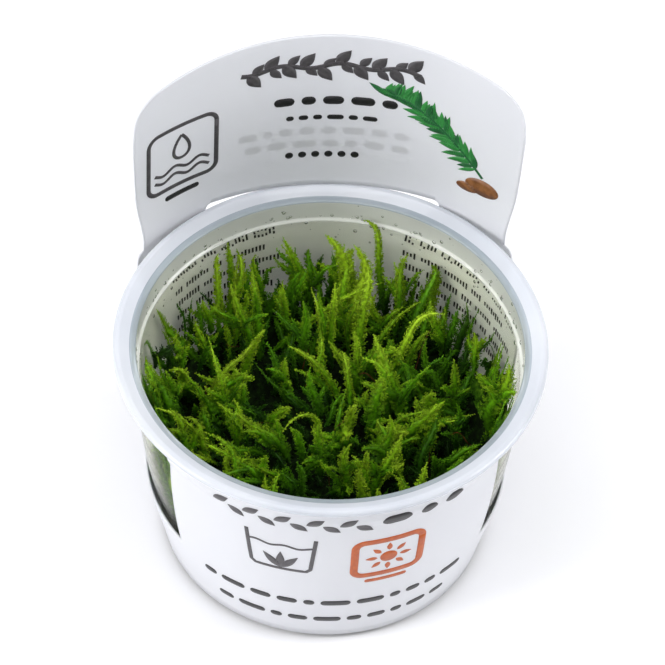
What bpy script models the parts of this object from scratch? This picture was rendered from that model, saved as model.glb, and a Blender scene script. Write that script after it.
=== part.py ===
"""Christmas moss growing in a tissue culture cup.

A clear moulded cup with a dished flange holds a layer of nutrient gel and a mat of moss with
upright fronds. One die-cut plastic sheet is wrapped round the cup: its lower part hugs the
tapered wall and leaves a window at each side, and its tall header stands up behind the cup,
where the back of the flange pokes through a slot.

Frame: origin at the middle of the cup's base, +Z up, the header at +Y, the front at -Y.
"""

import math

import bmesh
import bpy
import numpy as np
from mathutils import Vector

MM = 0.001
FIT_GAP = 0.3 * MM
SHEET_GAP = 0.45 * MM

# Cup: driving sizes
CUP_HEIGHT = 58.8 * MM
FLANGE_RADIUS = 47.5 * MM
FLANGE_SKIRT = 1.5 * MM
LIP_RADIUS = 43.7 * MM
LIP_DROP = 1.3 * MM
NECK_OUTER_RADIUS = 43.3 * MM
NECK_INNER_RADIUS = 42.4 * MM
STACKING_LEDGE_HEIGHT = 52.0 * MM
FOOT_RADIUS = 35.4 * MM
WAIST_RADIUS = 40.9 * MM
SHOULDER_RADIUS = 42.6 * MM
FOOT_ROUNDING = 3.0 * MM
WALL = 0.9 * MM
FLOOR = 1.2 * MM
LEDGE_STEP = 0.8 * MM
FLANGE_ROOT = 1.1 * MM
FLANGE_ROUNDING = 0.5 * MM
FLANGE_CREST = 1.4 * MM
LIP_ROUNDING = 0.2 * MM
WALL_STATIONS = (18.0 * MM, 35.0 * MM)
CORNER_STEPS = 4
TURNED_SEGMENTS = 64

# Gel and moss mat
GEL_LEVEL = 10.0 * MM
MAT_LEVEL = 29.0 * MM
MAT_CROWN = 2.5 * MM
MAT_CROWN_RADIUS = 40.0
MAT_LUMPS = (1.7 * MM, 0.9 * MM, 0.6 * MM)
MAT_EDGE_DROP = 1.5 * MM
MAT_EDGE_TUCK = 5.0 * MM
MAT_WAIST = 0.7 * MAT_LEVEL
MAT_RINGS = 9
MAT_SEGMENTS = 36

# Label sheet: driving sizes
SHEET = 0.5 * MM
SHEET_FOOT = 1.5 * MM
SHEET_TOP = 107.0 * MM
HEADER_PLAN_RADIUS = 61.3 * MM
HEADER_MIDDLE = 46.3 * MM
HEADER_TOP_RADIUS = 200.0 * MM
HEADER_TUCK = 1.3 * MM
HEADER_TUCK_HEIGHT = 14.0 * MM
HEADER_CORNER = 9.0 * MM
HEADER_EDGE_ANGLE = 53.5
HEADER_FLARE_ANGLE = 4.6
SLOT_END_ANGLE = 31.2
SLOT_BULGE_ANGLE = 1.7
SLOT_BOTTOM = 56.3 * MM
SLOT_TOP = 59.2 * MM
SHOULDER_DROP = 1.5 * MM
SHOULDER_SPAN = 14.0
BACK_PANEL_ANGLE = 80.0
FRONT_PANEL_ANGLE = 125.0
WINDOW_SILL = 19.5 * MM
FLARE_START = 45.0 * MM
FLARE_END = SLOT_BOTTOM + 0.7 * MM
NECK_START = STACKING_LEDGE_HEIGHT - 4.0 * MM
NECK_RISE = 3.0 * MM
HEADER_MEAN_RADIUS = 49.0 * MM

# Fronds, in mm: foot x, foot y, tip x, tip y, tip height, half width, turn of the blade in degrees
FRONDS = (
    (-2, 35, -9, 35, 54, 1.4, 10),
    (-14, 35, -15, 36, 47, 1.3, -15),
    (6, 35, 3, 36, 50, 1.3, 20),
    (19, 31, 16, 33, 47, 1.4, -10),
    (27, 23, 24, 25, 43, 1.3, 15),
    (34, 14, 33, 16, 43, 1.3, -25),
    (36, -3, 39, -3, 54, 1.7, -35),
    (-32, 16, -33, 17, 43, 1.4, 25),
    (-25, 20, -29, 21, 43, 1.3, -10),
    (-16, 21, -21, 22, 53, 1.4, 15),
    (-18, 29, -17, 30, 42, 1.2, 30),
    (-25, 27, -27, 27, 42, 1.3, -5),
    (-19, 12, -29, 10, 37, 1.5, 0),
    (-9, 9, -9, 10, 42, 1.3, -20),
    (-9, -7, -21, -7, 44, 1.6, 5),
    (-13, -16, -28, -14, 42, 1.7, -5),
    (5, -5, -4, -6, 37, 1.4, 10),
    (17, 2, 10, 9, 51, 1.6, 10),
    (17, 18, 22, 18, 38, 1.2, -20),
    (13, 26, 12, 27, 44, 1.3, 10),
    (2, -19, 4, -19, 47, 1.6, 0),
    (9, -19, 15, -18, 49, 1.5, -10),
    (29, -6, 28, -4, 42, 1.3, 20),
    (22, -14, 33, -14, 40, 1.6, -5),
    (10, 2, 9, 2, 40, 1.3, -30),
    (-33, 4, -36, 5, 44, 1.4, -15),
    (-30, -7, -35, -6, 44, 1.5, 15),
    (-25, -22, -28, -21, 43, 1.5, -10),
    (-14, -27, -15, -26, 45, 1.5, 10),
    (-4, -33, -6, -33, 44, 1.4, -20),
    (8, -31, 9, -30, 45, 1.5, 15),
    (17, -25, 20, -24, 46, 1.6, -5),
    (27, -21, 31, -20, 44, 1.5, 20),
    (29, 5, 28, 7, 44, 1.3, 10),
    (23, 10, 22, 12, 45, 1.3, -15),
    (21, -4, 19, -3, 43, 1.4, 25),
    (8, 12, 6, 14, 46, 1.4, -5),
    (-2, 3, -4, 5, 44, 1.4, 15),
    (-4, 19, -5, 21, 48, 1.4, -10),
    (5, 27, 4, 28, 46, 1.3, 5),
    (-8, 28, -9, 29, 46, 1.3, -15),
    (-22, 4, -24, 5, 45, 1.4, 20),
    (-19, -3, -21, 0, 40, 1.3, -25),
    (-2, -12, -3, -11, 44, 1.5, 10),
    (13, -10, 13, -9, 44, 1.5, -10),
    (-6, -23, -8, -22, 45, 1.5, 5),
)
FROND_STATIONS = 10
FROND_CLEARANCE = 0.6 * MM
FROND_FOOT_REACH = 1.7 * MM
FROND_THICKNESS = 0.30
FROND_THINNEST = 0.16 * MM
FROND_SPREAD = 1.35
FROND_TOOTH = 1.1 * MM
SHALLOW_TOOTH = 0.5
KNEE_ACROSS = 0.3
KNEE_UP = 0.6
BLADE_LEAN = 0.25


def clear_scene():
    for obj in list(bpy.data.objects):
        bpy.data.objects.remove(obj, do_unlink=True)


def material(name, colour, roughness, transmission=0.0):
    made = bpy.data.materials.new(name)
    made.use_nodes = True
    shader = made.node_tree.nodes["Principled BSDF"]
    shader.inputs["Base Color"].default_value = (*colour, 1.0)
    shader.inputs["Roughness"].default_value = roughness
    shader.inputs["Metallic"].default_value = 0.0
    shader.inputs["Transmission Weight"].default_value = transmission
    return made


def add_object(name, bm, look):
    """Closes a bmesh into a named object whose faces point out."""
    bmesh.ops.recalc_face_normals(bm, faces=bm.faces)
    mesh = bpy.data.meshes.new(name)
    bm.to_mesh(mesh)
    bm.free()
    mesh.materials.append(look)
    mesh.shade_smooth()
    mesh.set_sharp_from_angle(angle=math.radians(35))
    obj = bpy.data.objects.new(name, mesh)
    bpy.context.collection.objects.link(obj)
    return obj


def smooth_step(value):
    held = min(max(value, 0.0), 1.0)
    return held * held * (3.0 - 2.0 * held)


def corner_arc(centre, radius, start, end, steps):
    """Points of a round corner in the radius-height plane, angles in degrees."""
    angles = np.radians(np.linspace(start, end, steps))
    return [(centre[0] + radius * math.cos(a), centre[1] + radius * math.sin(a)) for a in angles]


def turned_solid(name, profile, look):
    """Spins a profile that starts and ends on the Z axis into one closed solid."""
    bm = bmesh.new()
    points = [bm.verts.new((radius, 0.0, height)) for radius, height in profile]
    edges = [bm.edges.new(pair) for pair in zip(points, points[1:])]
    bmesh.ops.spin(
        bm,
        geom=points + edges,
        cent=(0, 0, 0),
        axis=(0, 0, 1),
        angle=math.tau,
        steps=TURNED_SEGMENTS,
        use_merge=True,
    )
    bmesh.ops.remove_doubles(bm, verts=bm.verts, dist=1e-6)
    return add_object(name, bm, look)


def wall_outer(height):
    """Outer radius of the tapered wall: a gentle curve through the foot, waist and shoulder."""
    heights = (FOOT_ROUNDING, CUP_HEIGHT / 2, STACKING_LEDGE_HEIGHT)
    curve = np.polyfit(heights, (FOOT_RADIUS, WAIST_RADIUS, SHOULDER_RADIUS), 2)
    return float(np.polyval(curve, max(height, FOOT_ROUNDING)))


def wall_inner(height):
    return wall_outer(height) - WALL


def cup():
    rim = CUP_HEIGHT
    ledge = STACKING_LEDGE_HEIGHT
    lip = rim - LIP_DROP
    outer = FLANGE_RADIUS
    profile = [(0.0, 0.0)]
    foot_centre = (FOOT_RADIUS - FOOT_ROUNDING, FOOT_ROUNDING)
    profile += corner_arc(foot_centre, FOOT_ROUNDING, -90, 0, CORNER_STEPS)
    profile += [(wall_outer(height), height) for height in WALL_STATIONS]
    profile += [
        (wall_outer(ledge), ledge - LEDGE_STEP),
        (NECK_OUTER_RADIUS, ledge),
        (NECK_OUTER_RADIUS, lip - FLANGE_ROOT),
        (outer - 2 * FLANGE_ROUNDING, rim - FLANGE_SKIRT),
        (outer, rim - FLANGE_SKIRT),
        (outer, rim - FLANGE_ROUNDING),
        (outer - FLANGE_ROUNDING, rim - FLANGE_ROUNDING / 5),
        (outer - FLANGE_CREST, rim),
        (LIP_RADIUS, lip),
        (NECK_INNER_RADIUS + LIP_ROUNDING, lip - LIP_ROUNDING / 2),
        (NECK_INNER_RADIUS, lip - 2 * LIP_ROUNDING),
        (NECK_INNER_RADIUS - LIP_ROUNDING / 2, ledge + LIP_ROUNDING),
        (wall_inner(ledge), ledge - LIP_ROUNDING),
    ]
    profile += [(wall_inner(height), height) for height in reversed(WALL_STATIONS)]
    corner = FOOT_ROUNDING - WALL
    profile += corner_arc((wall_inner(0) - corner, FLOOR + corner), corner, 0, -90, CORNER_STEPS)
    profile += [(0.0, FLOOR)]
    return turned_solid("cup", profile, material("clear_polypropylene", (0.86, 0.89, 0.92), 0.25, 0.8))


def nutrient_gel():
    bottom = FLOOR + FIT_GAP
    corner = FOOT_ROUNDING - WALL
    inner = wall_inner(0) - FIT_GAP
    profile = [(0.0, bottom)]
    profile += corner_arc((inner - corner, bottom + corner), corner, -90, 0, CORNER_STEPS)
    profile += [(wall_inner(GEL_LEVEL) - FIT_GAP, GEL_LEVEL), (0.0, GEL_LEVEL)]
    return turned_solid("nutrient_gel", profile, material("agar_gel", (0.80, 0.78, 0.62), 0.2, 0.6))


def mat_top(x, y):
    """Height of the mat's lumpy top at a place given in metres."""
    u, v = x / MM, y / MM
    large, middling, small = MAT_LUMPS
    crown = MAT_CROWN * (1.0 - (u * u + v * v) / MAT_CROWN_RADIUS**2)
    lumps = large * math.sin(0.36 * u + 0.8) * math.cos(0.33 * v - 0.4)
    lumps += middling * math.sin(0.55 * u - 0.47 * v + 1.3)
    lumps += small * math.cos(0.8 * v + 0.6 * u)
    return MAT_LEVEL + crown + lumps


def moss_mat():
    """A lumpy plug of moss that fills the cup from the gel up."""
    bm = bmesh.new()
    angles = [math.tau * k / MAT_SEGMENTS for k in range(MAT_SEGMENTS)]
    edge = wall_inner(MAT_LEVEL - MAT_EDGE_TUCK) - 2 * FIT_GAP

    def ring(radius_at, height_at):
        made = []
        for angle in angles:
            x, y = radius_at(angle) * math.cos(angle), radius_at(angle) * math.sin(angle)
            made.append(bm.verts.new((x, y, height_at(x, y))))
        return made

    def sides(lower, upper):
        for k, _ in enumerate(angles):
            after = (k + 1) % MAT_SEGMENTS
            bm.faces.new((lower[k], lower[after], upper[after], upper[k]))

    bottom = GEL_LEVEL + FIT_GAP
    foot = ring(lambda a: wall_inner(bottom) - 2 * FIT_GAP, lambda x, y: bottom)
    waist = ring(
        lambda a: wall_inner(MAT_WAIST) - (3 + math.sin(5 * a) + math.sin(8 * a)) * FIT_GAP,
        lambda x, y: MAT_WAIST,
    )
    rings = [foot, waist]
    for k in range(MAT_RINGS, 0, -1):
        radius = edge * k / MAT_RINGS
        drop = MAT_EDGE_DROP if k == MAT_RINGS else 0.0
        rings.append(ring(lambda a: radius, lambda x, y: mat_top(x, y) - drop))
    for lower, upper in zip(rings, rings[1:]):
        sides(lower, upper)
    crown = bm.verts.new((0, 0, mat_top(0, 0)))
    bm.faces.new(list(reversed(foot)))
    for k, _ in enumerate(angles):
        bm.faces.new((rings[-1][k], rings[-1][(k + 1) % MAT_SEGMENTS], crown))
    return add_object("moss_mat", bm, material("moss_shade", (0.03, 0.09, 0.01), 0.8))


def frond(number, foot_x, foot_y, tip_x, tip_y, tip_z, half_width, turn):
    """One upright moss frond: a bowed, tapering blade of lens section with toothed edges."""
    reach = FROND_FOOT_REACH
    corners = ((-reach, 0), (reach, 0), (0, -reach), (0, reach), (0, 0))
    ground = max(mat_top(foot_x * MM + dx, foot_y * MM + dy) for dx, dy in corners)
    foot = Vector((foot_x * MM, foot_y * MM, ground + FROND_CLEARANCE))
    tip = Vector((tip_x, tip_y, tip_z)) * MM
    knee = foot.lerp(tip, KNEE_ACROSS)
    knee.z = foot.z + KNEE_UP * (tip.z - foot.z)
    around = math.radians(turn)
    facing = Vector((math.sin(around), -math.cos(around), BLADE_LEAN)).normalized()

    bm = bmesh.new()
    rings = []
    last = FROND_STATIONS - 1
    for k in range(last):
        t = k / last
        centre = foot * (1 - t) ** 2 + knee * 2 * t * (1 - t) + tip * t * t
        along = ((knee - foot) * (1 - t) + (tip - knee) * t).normalized()
        side = along.cross(facing).normalized()
        front = side.cross(along).normalized()
        taper = min(1.0, 0.45 + 2.2 * t) * (1.0 - t) ** 0.55
        wide = half_width * FROND_SPREAD * MM * taper
        left = wide * (1.0 if k % 2 else SHALLOW_TOOTH)
        right = wide * (SHALLOW_TOOTH if k % 2 else 1.0)
        thick = max(wide * FROND_THICKNESS, FROND_THINNEST)
        tooth = along * FROND_TOOTH
        rings.append(
            [
                bm.verts.new(centre - side * left + tooth * (k % 2)),
                bm.verts.new(centre - front * thick),
                bm.verts.new(centre + side * right + tooth * (1 - k % 2)),
                bm.verts.new(centre + front * thick),
            ]
        )
    point = bm.verts.new(tip)
    bm.faces.new(rings[0])
    for lower, upper in zip(rings, rings[1:]):
        for j in range(4):
            bm.faces.new((lower[j], lower[(j + 1) % 4], upper[(j + 1) % 4], upper[j]))
    for j in range(4):
        bm.faces.new((rings[-1][j], rings[-1][(j + 1) % 4], point))
    return add_object(f"moss_frond_{number:02d}", bm, FROND_LOOK)


def header_radius(angle, height):
    """Distance of the header from the cup's axis, at an angle from the back in degrees.

    In plan the header is an arc flatter than the cup, whose sides are tucked in at the flange.
    """
    offset = HEADER_PLAN_RADIUS - HEADER_MIDDLE
    across = offset * math.cos(math.radians(angle))
    arc = math.sqrt(across**2 + HEADER_PLAN_RADIUS**2 - offset**2) - across
    beside_slot = smooth_step((abs(angle) - SLOT_END_ANGLE) / (HEADER_EDGE_ANGLE - SLOT_END_ANGLE))
    above_flange = smooth_step((height - SLOT_TOP) / HEADER_TUCK_HEIGHT)
    return arc - HEADER_TUCK * beside_slot * (1.0 - above_flange)


def sheet_radius(angle, height):
    """The sheet hugs the wall low down and flares out to the header's arc at the back."""
    clear = SHEET_GAP + SHEET / 2
    hug = wall_outer(height) + clear
    neck = smooth_step((height - NECK_START) / NECK_RISE)
    hug += neck * (max(hug, NECK_OUTER_RADIUS + clear) - hug)
    flare = smooth_step((height - FLARE_START) / (FLARE_END - FLARE_START))
    shoulder = 1.0 - smooth_step((abs(angle) - HEADER_EDGE_ANGLE) / SHOULDER_SPAN)
    return hug + flare * shoulder * (header_radius(angle, height) - hug)


def header_top(fraction):
    """Height of the header's top edge, at a fraction of its half width: a flat arc with round corners."""
    half_width = math.radians(HEADER_EDGE_ANGLE + HEADER_FLARE_ANGLE) * HEADER_MEAN_RADIUS
    across = abs(fraction) * half_width
    height = SHEET_TOP - across**2 / (2 * HEADER_TOP_RADIUS)
    into_corner = max(0.0, across - (half_width - HEADER_CORNER))
    return height - HEADER_CORNER + math.sqrt(max(HEADER_CORNER**2 - into_corner**2, 0.0))


def sheet_point(angle, height):
    radius = sheet_radius(angle, height)
    around = math.radians(angle)
    return (radius * math.sin(around), radius * math.cos(around), height)


def label_sleeve():
    """The die-cut sheet as one grid round the cup, with the windows and the slot left out."""
    slot_columns = list(np.linspace(-SLOT_END_ANGLE, SLOT_END_ANGLE, 13))
    neck_columns = [36.5, 42.0, 47.0, 51.0, HEADER_EDGE_ANGLE]
    side_columns = [60.0, 70.0, BACK_PANEL_ANGLE, 91.0, 102.0, 113.0, FRONT_PANEL_ANGLE]
    front_columns = list(np.linspace(FRONT_PANEL_ANGLE, 360.0 - FRONT_PANEL_ANGLE, 21)[1:-1])
    right = neck_columns + side_columns
    columns = [-a for a in reversed(right)] + slot_columns + right + front_columns
    low_rows = [SHEET_FOOT, WINDOW_SILL, 30 * MM, 40 * MM, 47 * MM, STACKING_LEDGE_HEIGHT, SLOT_BOTTOM]
    neck_rows = list(np.linspace(SLOT_BOTTOM, SLOT_TOP, 4)[1:])
    header_shares = (0.33, 0.67, 1.0)
    panel_top = len(low_rows) - 1
    slot_top = panel_top + len(neck_rows)

    def place(angle, row):
        turn = angle if angle <= 180 else angle - 360
        if row <= panel_top:
            beyond = smooth_step((abs(turn) - HEADER_EDGE_ANGLE) / SHOULDER_SPAN)
            back_edge = beyond * (row == panel_top and abs(turn) <= BACK_PANEL_ANGLE)
            return sheet_point(turn, low_rows[row] - back_edge * SHOULDER_DROP)
        if row <= slot_top:
            height = neck_rows[row - panel_top - 1]
            if math.isclose(abs(turn), SLOT_END_ANGLE) and row < slot_top:
                turn += math.copysign(SLOT_BULGE_ANGLE, turn)
            return sheet_point(turn, height)
        share = header_shares[row - slot_top - 1]
        fraction = turn / HEADER_EDGE_ANGLE
        height = SLOT_TOP + share * (header_top(fraction) - SLOT_TOP)
        flare = HEADER_FLARE_ANGLE * (height - SLOT_TOP) / (SHEET_TOP - SLOT_TOP)
        return sheet_point(turn + fraction * flare, height)

    def covered(first, second, row):
        """Whether the sheet has material between two columns and above this row."""
        middle = (first + second) / 2
        turn = abs(middle if middle <= 180 else middle - 360)
        if row == 0:
            return True
        if row < panel_top:
            return turn < BACK_PANEL_ANGLE or turn > FRONT_PANEL_ANGLE
        if row < slot_top:
            return SLOT_END_ANGLE < turn < HEADER_EDGE_ANGLE
        return turn < HEADER_EDGE_ANGLE

    bm = bmesh.new()
    corners = {}

    def corner(column, row):
        key = (column % len(columns), row)
        if key not in corners:
            corners[key] = bm.verts.new(place(columns[key[0]], row))
        return corners[key]

    for k, first in enumerate(columns):
        second = columns[(k + 1) % len(columns)] + (360 if k + 1 == len(columns) else 0)
        for row in range(slot_top + len(header_shares)):
            if covered(first, second, row):
                bm.faces.new((corner(k, row), corner(k, row + 1), corner(k + 1, row + 1), corner(k + 1, row)))

    look = material("printed_white_sheet", (0.86, 0.87, 0.90), 0.35)
    sheet = add_object("label_sleeve", bm, look)
    thickness = sheet.modifiers.new("Thickness", "SOLIDIFY")
    thickness.thickness = SHEET
    thickness.offset = 0.0
    thickness.use_even_offset = True
    return sheet


clear_scene()
FROND_LOOK = material("moss_frond_green", (0.16, 0.32, 0.02), 0.6)
cup()
nutrient_gel()
moss_mat()
label_sleeve()
for index, places in enumerate(FRONDS, start=1):
    frond(index, *places)
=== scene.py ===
"""Looks of the christmas moss in its tissue culture cup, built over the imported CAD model.

Every length is in millimetres until a mesh is made. Angles round the sheet are measured from the
back of the cup (+Y) toward +X, in degrees.
"""

import math

import bpy
import numpy as np
from mathutils import Matrix


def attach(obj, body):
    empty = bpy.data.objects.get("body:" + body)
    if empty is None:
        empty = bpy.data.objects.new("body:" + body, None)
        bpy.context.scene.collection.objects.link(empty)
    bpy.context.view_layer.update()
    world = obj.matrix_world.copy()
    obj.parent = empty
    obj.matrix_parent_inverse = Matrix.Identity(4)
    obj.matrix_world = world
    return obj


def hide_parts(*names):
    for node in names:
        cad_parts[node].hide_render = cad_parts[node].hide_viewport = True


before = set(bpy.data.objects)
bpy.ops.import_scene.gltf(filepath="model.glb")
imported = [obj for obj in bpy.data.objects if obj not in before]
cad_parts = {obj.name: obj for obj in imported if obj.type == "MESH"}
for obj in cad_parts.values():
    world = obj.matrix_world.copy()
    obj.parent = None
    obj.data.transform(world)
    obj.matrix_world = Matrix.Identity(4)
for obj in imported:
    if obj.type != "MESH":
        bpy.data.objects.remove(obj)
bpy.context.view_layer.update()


# Cup
# The cup is injection moulded from clear polypropylene: a tapered wall, a stacking ledge near the
# top and a dished flange with a short skirt. It is one piece, a little cloudy, with soft corners.
MM = 0.001
CUP_HEIGHT = 58.8
FLANGE_RADIUS = 47.5
FLANGE_SKIRT = 1.5
LIP_RADIUS = 43.7
LIP_HEIGHT = 57.5
NECK_OUTER = 43.3
NECK_INNER = 42.4
LEDGE_HEIGHT = 52.0
FOOT_RADIUS = 35.4
FOOT_ROUNDING = 3.0
WAIST_RADIUS = 40.9
SHOULDER_RADIUS = 42.6
WALL = 0.9
FLOOR = 1.2
PUNT_RADIUS = 24.0
PUNT_DEPTH = 0.4
CORNER_SOFTENING = 0.25
CUP_SEGMENTS = 192
WALL_CURVE = np.polyfit(
    (FOOT_ROUNDING, CUP_HEIGHT / 2, LEDGE_HEIGHT), (FOOT_RADIUS, WAIST_RADIUS, SHOULDER_RADIUS), 2
)


def linear(colour):
    """An sRGB hex colour as linear light."""
    parts = np.array([int(colour[k : k + 2], 16) for k in (0, 2, 4)]) / 255
    light = np.where(parts <= 0.04045, parts / 12.92, ((parts + 0.055) / 1.055) ** 2.4)
    return (*map(float, light), 1.0)


def add_node(material, kind, settings=None, links=None):
    """Adds a node: settings name its sockets or properties, links give the output each input reads."""
    node = material.node_tree.nodes.new(kind)
    for name, value in (settings or {}).items():
        if name == "stops":
            ramp = node.color_ramp.elements
            for _ in value[2:]:
                ramp.new(0.5)
            for stop, (place, colour) in zip(ramp, value):
                stop.position = place
                stop.color = linear(colour)
        elif name in node.inputs:
            node.inputs[name].default_value = value
        else:
            setattr(node, name, value)
    for name, source in (links or {}).items():
        material.node_tree.links.new(source, node.inputs[name])
    return node


def new_material(name, settings):
    """A material with its own shader, whose plain values are given by socket name."""
    material = bpy.data.materials.new(name)
    material.use_nodes = True
    shader = material.node_tree.nodes["Principled BSDF"]
    for socket, value in settings.items():
        shader.inputs[socket].default_value = value
    return material, shader


def wire(material, source, target):
    """Leads one node's output to an input."""
    material.node_tree.links.new(source, target)


def wall_outer(height):
    """Radius of the wall's outside: the parabola through foot, waist and shoulder."""
    return np.polyval(WALL_CURVE, np.maximum(height, FOOT_ROUNDING))


def wall_inner(height):
    """Radius of the wall's inside: the outside's less the thickness."""
    return wall_outer(height) - WALL


def softened(profile, reach, steps=5):
    """Rounds each inner corner with a parabola that starts and ends at most reach away from it."""
    before, corner, after = profile[:-2], profile[1:-1], profile[2:]

    def toward(end):
        way = end - corner
        return corner + way * np.minimum(reach / np.linalg.norm(way, axis=1, keepdims=True), 0.45)

    t = np.linspace(0, 1, steps)[None, :, None]
    start, finish = toward(before)[:, None], toward(after)[:, None]
    curve = start * (1 - t) ** 2 + corner[:, None] * 2 * t * (1 - t) + finish * t**2
    return np.concatenate([profile[:1], curve.reshape(-1, 2), profile[-1:]])


def closed_rings(rings, first_pole, last_pole):
    """Skins rings of points, each wound anticlockwise, and closes both ends with a fan to a pole."""
    count, segments, _ = rings.shape
    here = np.arange(count * segments).reshape(count, segments)
    beside = np.roll(here, -1, axis=1)
    sides = np.stack([here[:-1], beside[:-1], beside[1:], here[1:]], -1).reshape(-1, 4)
    pole = np.full(segments, count * segments)
    first = np.stack([pole, beside[0], here[0]], -1)
    last = np.stack([pole + 1, here[-1], beside[-1]], -1)
    return np.concatenate([rings.reshape(-1, 3), [first_pole], [last_pole]]), [sides, first, last]


def turned(profile, segments):
    """Turns a profile about the axis: x = r cos a, y = r sin a, z = height."""
    angles = np.linspace(0, math.tau, segments, endpoint=False)
    radii, heights = profile[1:-1].T
    x, y = np.outer(radii, np.cos(angles)), np.outer(radii, np.sin(angles))
    rings = np.stack([x, y, np.broadcast_to(heights[:, None], x.shape)], -1)
    return closed_rings(rings, (0, 0, profile[0, 1]), (0, 0, profile[-1, 1]))


def add_piece(name, points, faces, material, slot, replaced=(), sharp=40):
    """Makes a mesh of points and lists of like-sided faces, and rides it on the object."""
    mesh = bpy.data.meshes.new(name)
    mesh.vertices.add(len(points))
    mesh.vertices.foreach_set("co", (points * MM).astype(np.float32).ravel())
    corners = np.concatenate([group.ravel() for group in faces])
    sides = np.concatenate([np.full(len(group), group.shape[1]) for group in faces])
    mesh.loops.add(len(corners))
    mesh.loops.foreach_set("vertex_index", corners.astype(np.int32))
    mesh.polygons.add(len(sides))
    mesh.polygons.foreach_set("loop_start", (np.cumsum(sides) - sides).astype(np.int32))
    mesh.update(calc_edges=True)
    mesh.validate()
    if sharp:
        mesh.shade_smooth()
        mesh.set_sharp_from_angle(angle=math.radians(sharp))
    mesh.materials.append(material)
    piece = bpy.data.objects.new(name, mesh)
    bpy.context.scene.collection.objects.link(piece)
    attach(piece, "root")
    if replaced:
        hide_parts(*replaced)
    return piece


def arc_points(centre, radius, start, end, steps):
    """Points of an arc: the centre plus the radius times the cosine and sine of each angle."""
    angles = np.radians(np.linspace(start, end, steps))
    return np.stack([centre[0] + radius * np.cos(angles), centre[1] + radius * np.sin(angles)], -1)


outer_heights = np.linspace(8, LEDGE_HEIGHT - 2, 12)
inner_corner = FOOT_ROUNDING - WALL
cup_profile = np.concatenate(
    [
        [(0, PUNT_DEPTH), (PUNT_RADIUS, PUNT_DEPTH), (PUNT_RADIUS + 1, 0)],
        [(FOOT_RADIUS - FOOT_ROUNDING - 0.5, 0)],
        arc_points((FOOT_RADIUS - FOOT_ROUNDING, FOOT_ROUNDING), FOOT_ROUNDING, -84, 0, 9),
        np.stack([wall_outer(outer_heights), outer_heights], -1),
        [
            (wall_outer(LEDGE_HEIGHT), LEDGE_HEIGHT - 0.8),
            (NECK_OUTER, LEDGE_HEIGHT),
            (NECK_OUTER, LIP_HEIGHT - 1.1),
            (FLANGE_RADIUS - 1.0, CUP_HEIGHT - FLANGE_SKIRT),
            (FLANGE_RADIUS, CUP_HEIGHT - FLANGE_SKIRT),
            (FLANGE_RADIUS, CUP_HEIGHT - 0.5),
            (FLANGE_RADIUS - 0.5, CUP_HEIGHT - 0.1),
            (FLANGE_RADIUS - 1.4, CUP_HEIGHT),
            (LIP_RADIUS, LIP_HEIGHT),
            (NECK_INNER + 0.2, LIP_HEIGHT - 0.1),
            (NECK_INNER, LIP_HEIGHT - 0.4),
            (NECK_INNER - 0.1, LEDGE_HEIGHT + 0.2),
            (wall_inner(LEDGE_HEIGHT), LEDGE_HEIGHT - 0.2),
        ],
        np.stack([wall_inner(outer_heights), outer_heights], -1)[::-1],
        arc_points((wall_inner(0) - inner_corner, FLOOR + inner_corner), inner_corner, 0, -90, 7),
        [(0, FLOOR)],
    ]
)


def mottled(name, settings, grain, texture, stops=None, relief=None, upright_share=None):
    """A material with a noise over the object's own coordinates. Its lumps are as long as the grain
    in mm, and drawn out upright where a share is given. It picks the colour from the stops, and
    relief gives the strength of a bump and its depth in mm."""
    made, shader = new_material(name, settings)
    place = add_node(made, "ShaderNodeTexCoord").outputs["Object"]
    if upright_share:
        stretch = {"Scale": (1.0, 1.0, upright_share)}
        place = add_node(made, "ShaderNodeMapping", stretch, {"Vector": place}).outputs["Vector"]
    lumps = {"Scale": 1 / (grain * MM), **texture}
    noise = add_node(made, "ShaderNodeTexNoise", lumps, {"Vector": place})
    if stops:
        colour = add_node(made, "ShaderNodeValToRGB", {"stops": stops}, {"Fac": noise.outputs["Fac"]})
        wire(made, colour.outputs["Color"], shader.inputs["Base Color"])
    if relief:
        height = {"Strength": relief[0], "Distance": relief[1] * MM}
        bump = add_node(made, "ShaderNodeBump", height, {"Height": noise.outputs["Fac"]})
        wire(made, bump.outputs["Normal"], shader.inputs["Normal"])
    return made, shader, noise


def moulded_polypropylene(name, clearness, index, dark, light, least_haze=0.05):
    """Polypropylene as moulded: see-through by its clearness and milky for the rest, with faint
    flow marks some 20 mm long that shade its colour, its gloss and its surface."""
    settings = {"Transmission Weight": clearness, "IOR": index, "Specular IOR Level": 0.4}
    stops = [(0.35, dark), (0.7, light)]
    made, shader, flow = mottled(name, settings, 22.22, {"Detail": 3.0}, stops, (0.15, 0.3))
    haze = {"From Min": 0.3, "From Max": 0.7, "To Min": least_haze, "To Max": 0.14}
    sheen = add_node(made, "ShaderNodeMapRange", haze, {"Value": flow.outputs["Fac"]})
    wire(made, sheen.outputs["Result"], shader.inputs["Roughness"])
    return made


def paint_faces(piece, material, chosen):
    """Gives the faces that chosen picks, from the x, y and z of their middles in mm, one more material."""
    faces = piece.data.polygons
    middles, slots = np.empty(len(faces) * 3, np.float32), np.empty(len(faces), np.int32)
    faces.foreach_get("center", middles)
    faces.foreach_get("material_index", slots)
    piece.data.materials.append(material)
    slots[chosen(*(middles.reshape(-1, 3).T / MM))] = len(piece.data.materials) - 1
    faces.foreach_set("material_index", slots)


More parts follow.
